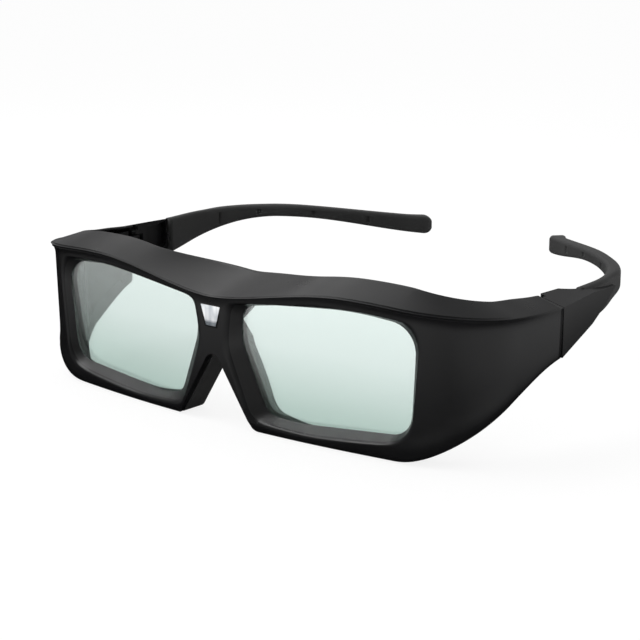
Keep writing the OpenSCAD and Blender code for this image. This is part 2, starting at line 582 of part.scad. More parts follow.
module arm_core_right() color("silver") place() mirror([1, 0, 0]) loft(core_rings);

front_shell();
rear_shell();
nose_pad();
sensor_window();
ir_receiver();
sensor_board();
shutter_cell_left();
shutter_cell_right();
front_polariser_left();
front_polariser_right();
rear_polariser_left();
rear_polariser_right();
lens_gasket_left();
lens_gasket_right();
flex_cable();
controller_board();
board_components();
coin_cell();
contact_positive();
contact_negative();
battery_door();
battery_door_screw();
case_screws();
hinge_block_left();
hinge_block_right();
hinge_pin_left();
hinge_pin_right();
temple_base_left();
temple_base_right();
temple_arm_left();
temple_arm_right();
arm_core_left();
arm_core_right();
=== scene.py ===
from math import asin, atan2, cos, hypot, pi, radians, sin, sqrt, tan

import bmesh
import bpy
from mathutils import Euler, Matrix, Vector


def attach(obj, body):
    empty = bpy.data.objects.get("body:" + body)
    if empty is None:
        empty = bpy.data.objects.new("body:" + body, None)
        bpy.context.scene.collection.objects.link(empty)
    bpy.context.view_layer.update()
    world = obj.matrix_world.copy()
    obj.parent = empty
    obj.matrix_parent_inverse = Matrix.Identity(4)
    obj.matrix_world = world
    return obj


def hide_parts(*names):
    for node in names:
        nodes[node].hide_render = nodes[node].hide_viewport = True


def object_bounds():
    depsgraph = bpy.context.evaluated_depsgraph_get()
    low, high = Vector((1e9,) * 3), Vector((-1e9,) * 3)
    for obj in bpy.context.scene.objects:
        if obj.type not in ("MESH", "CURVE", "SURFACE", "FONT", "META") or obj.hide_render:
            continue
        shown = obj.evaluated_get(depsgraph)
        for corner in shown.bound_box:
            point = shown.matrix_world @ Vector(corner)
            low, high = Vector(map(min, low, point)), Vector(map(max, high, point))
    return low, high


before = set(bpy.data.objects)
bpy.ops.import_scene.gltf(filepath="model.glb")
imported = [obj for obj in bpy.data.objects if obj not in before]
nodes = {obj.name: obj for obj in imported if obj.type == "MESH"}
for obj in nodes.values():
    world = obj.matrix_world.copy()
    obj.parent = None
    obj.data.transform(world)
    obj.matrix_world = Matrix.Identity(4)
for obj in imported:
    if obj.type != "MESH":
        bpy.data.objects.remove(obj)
cad_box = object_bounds()

# Camera: stands ahead of the wearer's left temple and a little above the brow, so that the left
# side panel, both lenses and the inner face of the right arm are all in view.
scene = bpy.context.scene
camera_data = bpy.data.cameras.new("camera")
camera_data.sensor_width = 36
camera_data.lens = 99.57
camera = bpy.data.objects.new("camera", camera_data)
camera.location = (0.3156, -0.40369, 0.146)
camera.rotation_euler = (radians(75.785), 0, radians(39.5))
scene.collection.objects.link(camera)
scene.camera = camera

# Front shell: the visor seen from outside, injection moulded in satin black plastic. Its face follows
# a plan path of a front arc, a tight corner and a straight side, in millimetres, and each lens lies
# at the bottom of a sloping bezel. Four screws hold the rear shell in it.
FRONT_R = 406
CORNER_R = 25
SIDE_LEAN = radians(6)
HINGE_X, HINGE_Y = 82.6, 45
lean_k = tan(SIDE_LEAN)
plan_a = HINGE_X - lean_k * HINGE_Y - CORNER_R / cos(SIDE_LEAN)
plan_b = FRONT_R - plan_a * lean_k
plan_c = 1 + lean_k ** 2
plan_d = plan_a ** 2 + FRONT_R ** 2 - (FRONT_R - CORNER_R) ** 2
corner_y = (plan_b - sqrt(plan_b ** 2 - plan_c * plan_d)) / plan_c
corner_x = plan_a + lean_k * corner_y
arc_turn = asin(corner_x / (FRONT_R - CORNER_R))
side_turn = pi / 2 - SIDE_LEAN
ARC_END = FRONT_R * arc_turn
CORNER_END = ARC_END + CORNER_R * (side_turn - arc_turn)
SIDE_END = CORNER_END + (HINGE_Y - corner_y + CORNER_R * sin(SIDE_LEAN)) / cos(SIDE_LEAN)


def mix(a, b, u):
    """Value at share u of the way from a to b."""
    return a + (b - a) * u


def part_way(a, b, t):
    """Share of the way from a to b, held between 0 and 1."""
    return min(1, max(0, (t - a) / (b - a)))


def ease(a, b, t):
    """Share of the way from a to b, starting and ending gently."""
    u = part_way(a, b, t)
    return u * u * (3 - 2 * u)


def quick(a, b, t):
    """As ease, but setting off at once."""
    return (ease(a, b, t) + sin(pi / 2 * part_way(a, b, t))) / 2


def turn(s):
    """Turn of the path at distance s from the middle."""
    return s / FRONT_R if s < ARC_END else min(side_turn, arc_turn + (s - ARC_END) / CORNER_R)


def plan(s):
    """Plan point of the outer face at distance s from the middle."""
    if s < ARC_END:
        return FRONT_R * sin(turn(s)), FRONT_R * (1 - cos(turn(s)))
    past = max(0, s - CORNER_END)
    return (corner_x + CORNER_R * sin(turn(s)) + past * cos(side_turn),
            corner_y - CORNER_R * cos(turn(s)) + past * sin(side_turn))


def path_at(x):
    """Distance along the path at which the outer face is x from the middle."""
    if x < FRONT_R * sin(arc_turn):
        return FRONT_R * asin(x / FRONT_R)
    return ARC_END + CORNER_R * (asin(min(1, (x - corner_x) / CORNER_R)) - arc_turn)


BROW_PEAK = 45
BROW_Z_BRIDGE, BROW_Z_EYE, BROW_Z_HINGE = 36, 41.4, 37.2
BRIDGE_BLEND = 5
HINGE_LEVEL = 4


def brow_z(s):
    """Height of the brow's front edge."""
    if s < BROW_PEAK:
        past_bridge = hypot(s, BRIDGE_BLEND) - BRIDGE_BLEND * (1 - s / BROW_PEAK)
        return mix(BROW_Z_BRIDGE, BROW_Z_EYE, quick(0, BROW_PEAK, past_bridge))
    return mix(BROW_Z_EYE, BROW_Z_HINGE, ease(BROW_PEAK, SIDE_END - HINGE_LEVEL, s))


CLIMB_START = 57
LOWER_Z_HINGE = 23.6
LOWER_SLOPE = 0.22


def lower_z(s):
    """Height of the lower edge, level under the lenses and climbing to the hinge."""
    u = part_way(CLIMB_START, SIDE_END, s)
    climb = LOWER_SLOPE * (SIDE_END - CLIMB_START)
    return LOWER_Z_HINGE * u * u * (3 - 2 * u) + climb * u * u * (u - 1)


BAND_BRIDGE, BAND_BROW, BAND_HINGE = 20, 10.6, 8.4
BAND_FOOT, BAND_LENS = 11, 9.6

# A span is the stretch of the path, or of the height, over which a size changes.
BRIDGE_SPAN, NOSE_SPAN = (4, 33), (12, 32)
BROW_CORNER_SPAN, FOOT_CORNER_SPAN = (ARC_END - 5, CORNER_END + 4), (ARC_END + 6, CORNER_END - 8)


def brow_depth(s):
    """Depth of the brow from front to back."""
    over_eye = mix(BAND_BROW, BAND_HINGE, ease(*BROW_CORNER_SPAN, s))
    return over_eye + (BAND_BRIDGE - BAND_BROW) * (1 - ease(*BRIDGE_SPAN, s))


def foot_depth(s):
    """Depth of the lower edge from front to back."""
    under_lens = mix(BAND_FOOT, BAND_LENS, ease(*NOSE_SPAN, s))
    return mix(under_lens, brow_depth(s), ease(*FOOT_CORNER_SPAN, s))


BROW_RISE, CORNER_RISE, HINGE_RISE = 3.7, 0.8, 2.2
RISE_SPAN, SEAM_SPAN = (ARC_END - 5, CORNER_END + 6), (SIDE_END - 14, SIDE_END)


def top_z(s, d):
    """Height of the brow's top, d behind its front edge."""
    rise = mix(BROW_RISE, HINGE_RISE, ease(*RISE_SPAN, s))
    rise += CORNER_RISE * ease(ARC_END, CORNER_END, s) * (1 - ease(*SEAM_SPAN, s))
    return brow_z(s) + rise * d / brow_depth(s)


BROW_EDGE = 0.9
EDGE_AT_BRIDGE = 0.4
SIDE_SHARE = 0.15
EDGE_SPAN, EDGE_SIDE_SPAN = (25, ARC_END), (CORNER_END - 14, SIDE_END)
mid_y = -cad_box[0][1] * 1000 - EDGE_AT_BRIDGE * BROW_EDGE


def brow_edge(s):
    """How far the brow's front edge stands out from the plan path."""
    share = mix(EDGE_AT_BRIDGE, 1, ease(*EDGE_SPAN, s))
    return BROW_EDGE * share * mix(1, SIDE_SHARE, ease(*EDGE_SIDE_SPAN, s))


FACE_IN, FACE_LEAN, FOOT_IN = 0.45, 1.3, 3.2
UNDER_BROW = 3
FOOT_ROUND = 4
FOOT_FLARE = 0.5
LEAN_SPAN = (ARC_END + 4, CORNER_END + 8)
FLARE_SPAN, FLARE_END_SPAN = (54, 68), (78, 96)
FLARE_LOW, FLARE_HIGH = 2, 8


def face_in(s, z):
    """Set-back of the face behind the plan path: hollowed under the brow's edge, rounded at the foot."""
    lean, low, high = mix(1, SIDE_SHARE, ease(*LEAN_SPAN, s)), lower_z(s), brow_z(s)
    if z > high - UNDER_BROW:
        return mix(-brow_edge(s), FACE_IN * lean, 1 - max(0, 1 - (high - z) / UNDER_BROW) ** 2)
    flare = FOOT_FLARE * ease(*FLARE_SPAN, s) * (1 - ease(*FLARE_END_SPAN, s))
    flare *= 1 - ease(low + FLARE_LOW, low + FLARE_HIGH, z)
    if z > low + FOOT_ROUND:
        up = (z - low - FOOT_ROUND) / (high - low - FOOT_ROUND - UNDER_BROW)
        return mix(FACE_LEAN, FACE_IN, up) * lean - flare
    rounded = 1 - sqrt(max(0, 1 - ((low + FOOT_ROUND - z) / FOOT_ROUND) ** 2))
    return mix(FACE_LEAN, FOOT_IN, rounded) * lean - flare


def in_metres(x, y, z):
    """Turns millimetres from the bridge into a place in the frame."""
    return Vector((x, y - mid_y, z)) / 1000


def on_shell(s, d, z):
    """Point d behind the outer face at distance s along the path, in metres."""
    x, y = plan(s)
    return in_metres(x - d * sin(turn(s)), y + d * cos(turn(s)), z)


def surface(bm, columns, rows, place, matt_rows=0):
    """Adds a grid and moves its point (column, row) to place(column, row); its first rows may be matt."""
    grid = bmesh.ops.create_grid(bm, x_segments=columns, y_segments=rows, size=1)["verts"]
    for f in {f for v in grid for f in v.link_faces}:
        f.material_index = int((f.calc_center_median().y + 1) / 2 * rows < matt_rows)
    for v in grid:
        v.co = place(round((v.co.x + 1) / 2 * columns), round((v.co.y + 1) / 2 * rows))


def piece(name, bm, body, material):
    """Makes the finished mesh an object that rides on a body of the frame."""
    mesh = bpy.data.meshes.new(name)
    bm.to_mesh(mesh)
    bm.free()
    mesh.polygons.foreach_set("use_smooth", [True] * len(mesh.polygons))
    obj = bpy.data.objects.new(name, mesh)
    scene.collection.objects.link(obj)
    mesh.materials.append(material)
    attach(obj, body)
    return obj


ARC_STEPS = 12


def rounded_outline(corners):
    """Closed outline, as (x, z) points, of corners given as (x, z, radius), anticlockwise."""
    points = []
    for k, (x, z, r) in enumerate(corners):
        here = Vector((x, z))
        before = (Vector(corners[k - 1][:2]) - here).normalized()
        after = (Vector(corners[(k + 1) % len(corners)][:2]) - here).normalized()
        half = before.angle(after) / 2
        centre = here + (before + after).normalized() * r / sin(half)
        start = atan2(*reversed(here + before * r / tan(half) - centre))
        for i in range(ARC_STEPS + 1):
            a = start + (pi - 2 * half) * i / ARC_STEPS
            points.append((centre.x + r * cos(a), centre.y + r * sin(a)))
    return points


def toward(outline, centre, angle):
    """Point of the outline that is seen from its centre at that angle."""
    c, s = cos(angle), sin(angle)
    for (x0, z0), (x1, z1) in zip(outline, outline[1:] + outline[:1]):
        a = (x0 - centre[0]) * -s + (z0 - centre[1]) * c
        b = (x1 - centre[0]) * -s + (z1 - centre[1]) * c
        if a <= 0 < b:
            x, z = mix(x0, x1, a / (a - b)), mix(z0, z1, a / (a - b))
            if (x - centre[0]) * c + (z - centre[1]) * s > 0:
                return Vector((x, 0, z))


LENS_CENTRE = (35.5, 20.5)
BEZEL_DEPTH = 4.9
opening = rounded_outline([(16, 4.9, 5), (26, 4.1, 60), (61.4, 7, 6.5), (63.5, 36, 7.5), (44, 37.6, 100),
                           (22, 36, 70), (9.3, 34.1, 4), (7.6, 25, 14)])
rim = rounded_outline([(10.6, 2.8, 5), (30, 2, 60), (63.6, 4.3, 12), (70.3, 39, 6.5), (44, 39.3, 150),
                       (4, 35.4, 3), (1.8, 22.6, 10)])
lens_turn = Euler((radians(2.2), 0, radians(4.4))).to_matrix()
lens_pivot = Vector((0, 0, 34.1))
lens_seat = Vector((0, 3.1, 0))


def on_lens(p):
    """Carries a point from the lens's own plane into the shell, in millimetres from the bridge."""
    return lens_turn @ (p - lens_pivot) + lens_pivot + lens_seat


def bezel_point(angle, t):
    """Point of the bezel's slope, from the lens (t = 0) out to the rim and beyond."""
    inner, outer = toward(opening, LENS_CENTRE, angle), toward(rim, LENS_CENTRE, angle)
    return on_lens(inner.lerp(outer, min(t, 1)) + Vector((0, -BEZEL_DEPTH * t, 0)))


HALVINGS = 30


def bezel_edge(angle):
    """Where the slope comes out through the face: its share of the slope, path distance and height."""
    low, high = 0, 2
    for _ in range(HALVINGS):
        t = (low + high) / 2
        p = bezel_point(angle, t)
        s = path_at(p.x)
        if p.y > plan(s)[1] + face_in(s, p.z) * cos(turn(s)):
            low = t
        else:
            high = t
    return t, s, p.z


NOSE_W, NOSE_TOP_W, NOSE_H = 27.9, 3.4, 19.7
NOSE_R, NOSE_FOOT_R = 2.9, 2.6
TOP_STEPS, LEG_STEPS, TOE_STEPS = 8, 9, 5


def nose_arch(grow):
    """Half of the nose gap's outline, as (x, z) points from its top to its foot."""
    run = (NOSE_W - NOSE_TOP_W) / 2
    side = hypot(run, NOSE_H) / NOSE_H
    top_x, top = NOSE_TOP_W / 2 + grow * (side - run / NOSE_H), NOSE_H + grow
    foot_x = NOSE_W / 2 + grow * side
    bend = atan2(top, foot_x - top_x)
    top_r = NOSE_R + grow
    top_turns = [bend * i / TOP_STEPS for i in range(TOP_STEPS + 1)]
    points = [(top_r * sin(a), top - top_r * (1 - cos(a))) for a in top_turns]
    toe_x = foot_x + NOSE_FOOT_R * tan(bend / 2)
    toe_turns = [bend * (1 - i / TOE_STEPS) for i in range(TOE_STEPS + 1)]
    toe = [(toe_x - NOSE_FOOT_R * sin(a), NOSE_FOOT_R * (1 - cos(a))) for a in toe_turns]
    start, end = Vector(points[-1]), Vector(toe[0])
    points += [tuple(start.lerp(end, i / LEG_STEPS)) for i in range(1, LEG_STEPS)]
    return points + toe


SIDE_START = 76
CREST_N, FOOT_N, SIDE_N, MIDDLE_N = 50, 40, 26, 14
BRIDGE_ANGLE, BROW_ANGLE, FOOT_ANGLE, NOSE_ANGLE = 152, 27, -27, -140
side_shares = [0, 0.03, 0.06, 0.1, 0.16, 0.25, 0.37, 0.5, 0.62, 0.73, 0.82, 0.89, 0.94, 0.975, 1]
arch = nose_arch(0)
ARCH_N = len(arch) - 1
crest_s = [SIDE_START * i / CREST_N for i in range(CREST_N + 1)]
foot_s = [mix(SIDE_START, arch[-1][0], i / FOOT_N) for i in range(FOOT_N + 1)]
side_top, side_low = brow_z(SIDE_START), lower_z(SIDE_START)

# Outline of half the face, as (path distance, height, angle of the bezel that it faces): along the
# brow's edge, down the corner, back along the foot, up the nose and up the middle.
face_edge = [(s, brow_z(s), mix(BRIDGE_ANGLE, BROW_ANGLE, i / CREST_N)) for i, s in enumerate(crest_s)]
face_edge += [(SIDE_START, mix(side_top, side_low, w), mix(BROW_ANGLE, FOOT_ANGLE, w))
              for w in side_shares[1:]]
face_edge += [(s, lower_z(s), mix(FOOT_ANGLE, NOSE_ANGLE, i / FOOT_N)) for i, s in enumerate(foot_s)][1:]
face_edge += [(x, z, mix(NOSE_ANGLE, -180, i / ARCH_N)) for i, (x, z) in enumerate(arch[::-1])][1:]
face_edge += [(0, mix(arch[0][1], brow_z(0), i / MIDDLE_N), mix(180, BRIDGE_ANGLE, i / MIDDLE_N))
              for i in range(1, MIDDLE_N + 1)]
bezel_edges = [bezel_edge(radians(angle)) for _, _, angle in face_edge]
slope_rows = [0, 0.04, 0.25, 0.5]
rim_rows = [0, 0.17, 0.33, 0.5, 0.67, 0.83]
face_rows = [0, 0.14, 0.3, 0.46, 0.6, 0.72, 0.82, 0.9, 1]
RIM_ROUND = 1.2
FACE_SHARE_MAX, SLOPE_SHARE_MAX = 0.4, 0.3


def face_point(column, row):
    """Point of the slope, of the rim's rounding or of the face, counted out from the lens."""
    s, z, angle = face_edge[column]
    share, rim_s, rim_z = bezel_edges[column]

    def on_slope(t):
        return in_metres(*bezel_point(radians(angle), share * t))

    def on_face(t):
        path, height = mix(rim_s, s, t), mix(rim_z, z, t)
        return on_shell(path, face_in(path, height), height)

    first = min(FACE_SHARE_MAX, RIM_ROUND / hypot(s - rim_s, z - rim_z))
    if row < len(slope_rows):
        return on_slope(slope_rows[row])
    row -= len(slope_rows)
    if row < len(rim_rows):
        u, edge = rim_rows[row], on_slope(1)
        last = 1 - min(SLOPE_SHARE_MAX, RIM_ROUND / 1000 / (edge - on_slope(0)).length)
        return on_slope(last).lerp(edge, u).lerp(edge.lerp(on_face(first), u), u)
    return on_face(mix(first, 1, face_rows[row - len(rim_rows)]))


def seam_s(share):
    """Path distance of a column on the side, from the face's edge to the hinge seam."""
    return mix(SIDE_START, SIDE_END, share)


def to_seam(p):
    """Keeps a point of the last column in the plane of the hinge seam."""
    return Vector((p.x, min(p.y, (HINGE_Y - mid_y) / 1000), p.z))


def side_point(column, row):
    """Point of the side, counted back from the corner and down from the brow."""
    s = seam_s(column / SIDE_N)
    z = mix(brow_z(s), lower_z(s), side_shares[row])
    return to_seam(on_shell(s, face_in(s, z), z))


top_shares = [0, 0.06, 0.12, 0.24, 0.42, 0.6, 0.8, 0.92]
EDGE_R = 0.6
EDGE_ROWS = 4


def brow_point(column, row):
    """Point of the brow's top and of its rounded rear edge, counted back from the front edge."""
    s = crest_s[column] if column <= CREST_N else seam_s((column - CREST_N) / SIDE_N)
    back = brow_depth(s) - EDGE_R
    if row < len(top_shares):
        share = top_shares[row]
        return to_seam(on_shell(s, mix(-brow_edge(s), back, share), mix(brow_z(s), top_z(s, back), share)))
    a = pi / 2 * (row - len(top_shares)) / EDGE_ROWS
    return to_seam(on_shell(s, back + EDGE_R * sin(a), top_z(s, back) - EDGE_R * (1 - cos(a))))


INNER_DROP = 4
DROP_SPAN = (0, 10)
SEAM_DROP = 0.55
LIP_RISE = 1
FLOOR_ROWS, LIP_ROWS = 3, 3


def foot_point(column, row):
    """Point of the lower edge, counted back from the face, round its inner lip and up inside."""
    s = foot_s[FOOT_N - column] if column <= FOOT_N else seam_s((column - FOOT_N) / SIDE_N)
    back, low = foot_depth(s) - EDGE_R, lower_z(s)
    drop = INNER_DROP * ease(*DROP_SPAN, low) * mix(1, SEAM_DROP, ease(CORNER_END, SIDE_END, s))
    if row <= FLOOR_ROWS:
        share = row / FLOOR_ROWS
        return to_seam(on_shell(s, mix(face_in(s, low), back, share), low - drop * share))
    a = pi / 2 * min(1, (row - FLOOR_ROWS) / LIP_ROWS)
    inside = (drop + LIP_RISE) * max(0, row - FLOOR_ROWS - LIP_ROWS)
    return to_seam(on_shell(s, back + EDGE_R * sin(a), low - drop + EDGE_R * (1 - cos(a)) + inside))


PAD_Y = 3.6
PAD_T = 1.6
BAND_WAIST = 7.7
WAIST_START, WAIST_RUN = 0.6, 28.2
pad_arch = nose_arch(PAD_T)
BEFORE_PAD, BEHIND_PAD = 2, 3


def nose_wall_point(column, row):
    """Point of the nose gap's wall, which steps out round the pad behind its first part."""
    x, z = arch[column]
    if row == 0:
        return on_shell(x, face_in(x, z), z)
    if row <= BEFORE_PAD:
        return in_metres(x, mix(face_in(x, z), PAD_Y, row / BEFORE_PAD), z)
    x, z = pad_arch[column]
    back = mix(BAND_FOOT, BAND_WAIST, (z - WAIST_START) / WAIST_RUN)
    return in_metres(x, mix(PAD_Y, back, (row - BEFORE_PAD - 1) / BEHIND_PAD), z)


def new_material(name):
    """Material with its node tree, its shader and its Object coordinates."""
    mat = bpy.data.materials.new(name)
    mat.use_nodes = True
    tree = mat.node_tree
    place = tree.nodes.new("ShaderNodeTexCoord").outputs["Object"]
    return mat, tree, tree.nodes["Principled BSDF"], place


def add_node(tree, kind, values):
    """Adds a node and sets the inputs that are named."""
    node = tree.nodes.new(kind)
    for name, value in values.items():
        node.inputs[name].default_value = value
    return node


def add_ramp(tree, first, last):
    """Adds a colour ramp from one (position, colour) to another."""
    node = tree.nodes.new("ShaderNodeValToRGB")
    for element, (position, colour) in zip(node.color_ramp.elements, (first, last)):
        element.position = position
        element.color = (*colour, 1)
    return node


def join(tree, *pairs):
    """Links each output to the input beside it."""
    for out, socket in pairs:
        tree.links.new(out, socket)


def moulded(name, colour, rough, grain_size=0.0002, grain_depth=0.12, specular=0.5):
    """Moulded surface with a fine grain and a slightly uneven gloss and tone from handling."""
    mat, tree, shader, place = new_material(name)
    shader.inputs["Specular IOR Level"].default_value = specular
    grain = add_node(tree, "ShaderNodeTexNoise", {"Scale": 1 / grain_size, "Detail": 3})
    bump = add_node(tree, "ShaderNodeBump", {"Strength": grain_depth, "Distance": grain_size / 5})
    handling = add_node(tree, "ShaderNodeTexNoise", {"Scale": 95, "Detail": 4})
    gloss = add_node(tree, "ShaderNodeMapRange", {"From Min": 0.3, "From Max": 0.7,
                                                  "To Min": rough - 0.03, "To Max": rough + 0.04})
    tint = add_ramp(tree, (0.3, [c * 0.85 for c in colour]), (0.7, [c * 1.15 for c in colour]))
    join(tree,
         (place, grain.inputs["Vector"]),
         (place, handling.inputs["Vector"]),
         (grain.outputs["Fac"], bump.inputs["Height"]),
         (bump.outputs["Normal"], shader.inputs["Normal"]),
         (handling.outputs["Fac"], gloss.inputs["Value"]),
         (gloss.outputs["Result"], shader.inputs["Roughness"]),
         (handling.outputs["Fac"], tint.inputs["Fac"]),
         (tint.outputs["Color"], shader.inputs["Base Color"]))
    return mat


MERGE = 0.00001
CREASE = radians(24)
CREASE_R = 0.0004
TOE_TOP = 0.002
satin_black = moulded("satin_black_plastic", (0.006, 0.006, 0.0065), 0.3, specular=0.3)
bm = bmesh.new()
surface(bm, len(face_edge) - 1, len(slope_rows) + len(rim_rows) + len(face_rows) - 1, face_point,
        matt_rows=len(slope_rows))
surface(bm, SIDE_N, len(side_shares) - 1, side_point)
surface(bm, CREST_N + SIDE_N, len(top_shares) + EDGE_ROWS, brow_point)
surface(bm, FOOT_N + SIDE_N, FLOOR_ROWS + LIP_ROWS + 1, foot_point)
surface(bm, ARCH_N, BEFORE_PAD + 1 + BEHIND_PAD, nose_wall_point)
bmesh.ops.mirror(bm, geom=bm.verts[:] + bm.edges[:] + bm.faces[:], axis="X", merge_dist=MERGE)
bmesh.ops.remove_doubles(bm, verts=bm.verts[:], dist=2 * MERGE)
bmesh.ops.recalc_face_normals(bm, faces=bm.faces[:])
creases = [e for e in bm.edges if len(e.link_faces) == 2 and e.calc_face_angle() > CREASE
           and all(v.co.z > TOE_TOP for v in e.verts)]
bmesh.ops.bevel(bm, geom=creases, offset=CREASE_R, segments=4, profile=0.5, affect="EDGES", material=-1,
                loop_slide=True, clamp_overlap=True)
front_shell = piece("front_shell_visor", bm, "frame", satin_black)
front_shell.data.materials.append(moulded("matt_bezel", (0.007, 0.007, 0.0075), 0.42, specular=0.6))
walls = front_shell.modifiers.new("walls", "SOLIDIFY")
walls.thickness = 0.0008
walls.offset = -1
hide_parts("front_shell")

# Rear shell: the thinner moulding behind, in the same black plastic, with a short tunnel behind each
# lens. It is let into the front shell and held by four screws in its counterbores.
WELD = 0.000002
SHARP = radians(28)


def smooth_group():
    """Welds the loose triangles of a solid and shades its curved faces smooth, its edges sharp."""
    group = bpy.data.node_groups.new("smooth_moulding", "GeometryNodeTree")
    group.interface.new_socket("Geometry", in_out="INPUT", socket_type="NodeSocketGeometry")
    group.interface.new_socket("Geometry", in_out="OUTPUT", socket_type="NodeSocketGeometry")
    flow = group.nodes.new("NodeGroupInput").outputs[0]
    for name in ("custom_normal", "sharp_edge", "sharp_face"):
        remove = add_node(group, "GeometryNodeRemoveAttribute", {"Name": name})
        join(group, (flow, remove.inputs[0]))
        flow = remove.outputs[0]
    weld = add_node(group, "GeometryNodeMergeByDistance", {"Distance": WELD})
    angle = group.nodes.new("GeometryNodeInputMeshEdgeAngle")
    sharp = group.nodes.new("FunctionNodeCompare")
    sharp.inputs[1].default_value = SHARP
    faces = group.nodes.new("GeometryNodeSetShadeSmooth")
    edges = add_node(group, "GeometryNodeSetShadeSmooth", {"Shade Smooth": False})
    edges.domain = "EDGE"
    join(group,
         (flow, weld.inputs["Geometry"]),
         (weld.outputs[0], faces.inputs["Geometry"]),
         (angle.outputs["Unsigned Angle"], sharp.inputs[0]),
         (faces.outputs[0], edges.inputs["Geometry"]),
         (sharp.outputs[0], edges.inputs["Selection"]),
         (edges.outputs[0], group.nodes.new("NodeGroupOutput").inputs[0]))
    return group


smooth_moulding = smooth_group()


def finish_solid(name, material, edge=0.0):
    """Gives a solid of the frame its material, smooth shading and, where asked, rounded edges."""
    obj = nodes[name]
    obj.data.materials.clear()
    obj.data.materials.append(material)
    obj.modifiers.new("smooth_moulding", "NODES").node_group = smooth_moulding
    if edge:
        bevel = obj.modifiers.new("rounded_edges", "BEVEL")
        bevel.width = edge
        bevel.segments = 3
        bevel.limit_method = "ANGLE"
        bevel.angle_limit = radians(40)
        bevel.harden_normals = False


seat = rounded_outline([(16, 4.9, 5), (26, 4.1, 60), (62, 7, 6), (64.1, 35.7, 7.5), (44, 37.4, 100),
                        (22, 35.7, 70), (9.6, 33.8, 4), (7.9, 25, 14)])
SEAT_DEPTH = 2.6
SEAT_WALL = 2
TUNNEL_SPREAD = 0.9
TUNNEL_FLARE = 0.35
TOP_FLARE, FOOT_SPREAD, OUTER_FLARE = 0.2, 1, 2.5
NOSE_FLARE, NOSE_TOP_FLARE = -0.7, 2
NOSE_STEP = (25, 29)


def flared(name, new_name, material):
    """Makes a solid of the frame anew, its lens tunnels spread toward the back out of the lens's view."""
    bm = bmesh.new()
    bm.from_mesh(nodes[name].data)
    bmesh.ops.remove_doubles(bm, verts=bm.verts[:], dist=WELD)
    centre = Vector((LENS_CENTRE[0], 0, LENS_CENTRE[1]))
    for v in bm.verts:
        side = -1 if v.co.x < 0 else 1
        p = Vector((side * v.co.x, v.co.y + mid_y / 1000, v.co.z)) * 1000
        p = lens_turn.transposed() @ (p - lens_pivot - lens_seat) + lens_pivot
        out = Vector((p.x, 0, p.z)) - centre
        edge = toward(seat, LENS_CENTRE, atan2(out.z, out.x)) - centre
        if out.length < edge.length + SEAT_WALL:
            out.normalize()
            nose = mix(NOSE_FLARE, NOSE_TOP_FLARE, ease(*NOSE_STEP, p.z))
            level = OUTER_FLARE if out.x > 0 else nose
            upright = TOP_FLARE if out.z > 0 else FOOT_SPREAD
            spread = TUNNEL_SPREAD + TUNNEL_FLARE * max(0, p.y - SEAT_DEPTH)
            p = on_lens(p + out * spread * mix(upright, level, out.x ** 2))
            v.co = in_metres(side * p.x, p.y, p.z)
    obj = piece(new_name, bm, "frame", material)
    obj.modifiers.new("smooth_moulding", "NODES").node_group = smooth_moulding
    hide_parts(name)


flared("rear_shell", "rear_shell_moulding", satin_black)

# Nose pad: a soft black rubber saddle pushed into the arch behind the bridge, rounded at its top
# where it sits on the nose.
soft_rubber = moulded("soft_black_rubber", (0.016, 0.016, 0.016), 0.6, 0.0003, 0.2)
soft_rubber.node_tree.nodes["Principled BSDF"].inputs["Sheen Weight"].default_value = 0.05
finish_solid("nose_pad", soft_rubber, 0.0003)

# Sensor window: a clear wedge-shaped window over the bridge that lets the synchronising infrared
# through, snapped into the shell from behind, with a thin dark joint round it. The receiver and its
# small green board stand behind.
WINDOW_Z = 30.6
WINDOW_H = 5.8
WINDOW_TOP, WINDOW_FOOT = 7.2, 3.7
WINDOW_FACE_TOP = 32.9
FRONT_ZONE = 0.6


def window_plate(grow, front, back, edge):
    """Wedge-shaped plate across the bridge, with its front edges rounded."""
    bm = bmesh.new()
    bmesh.ops.create_cube(bm, size=1)
    for v in bm.verts:
        z = WINDOW_Z + v.co.z * (WINDOW_H + 2 * grow)
        half = (WINDOW_TOP if v.co.z > 0 else WINDOW_FOOT) / 2 + grow
        depth = front if v.co.y < 0 else back
        v.co = in_metres(v.co.x * 2 * half, face_in(0, min(z, WINDOW_FACE_TOP)) + depth, z)
    zone = (FRONT_ZONE + front - mid_y) / 1000
    fronts = [e for e in bm.edges if any(v.co.y < zone for v in e.verts)]
    bmesh.ops.bevel(bm, geom=fronts, offset=edge, segments=3, profile=0.5, affect="EDGES", material=-1)
    bmesh.ops.recalc_face_normals(bm, faces=bm.faces[:])
    return bm


def axis_share(tree, place, axis, start, end):
    """Share of the way from start to end along an axis, in metres, held between 0 and 1."""
    axes = tree.nodes.new("ShaderNodeSeparateXYZ")
    span = add_node(tree, "ShaderNodeMapRange", {"From Min": start, "From Max": end})
    join(tree, (place, axes.inputs["Vector"]), (axes.outputs[axis], span.inputs["Value"]))
    return span.outputs["Result"]


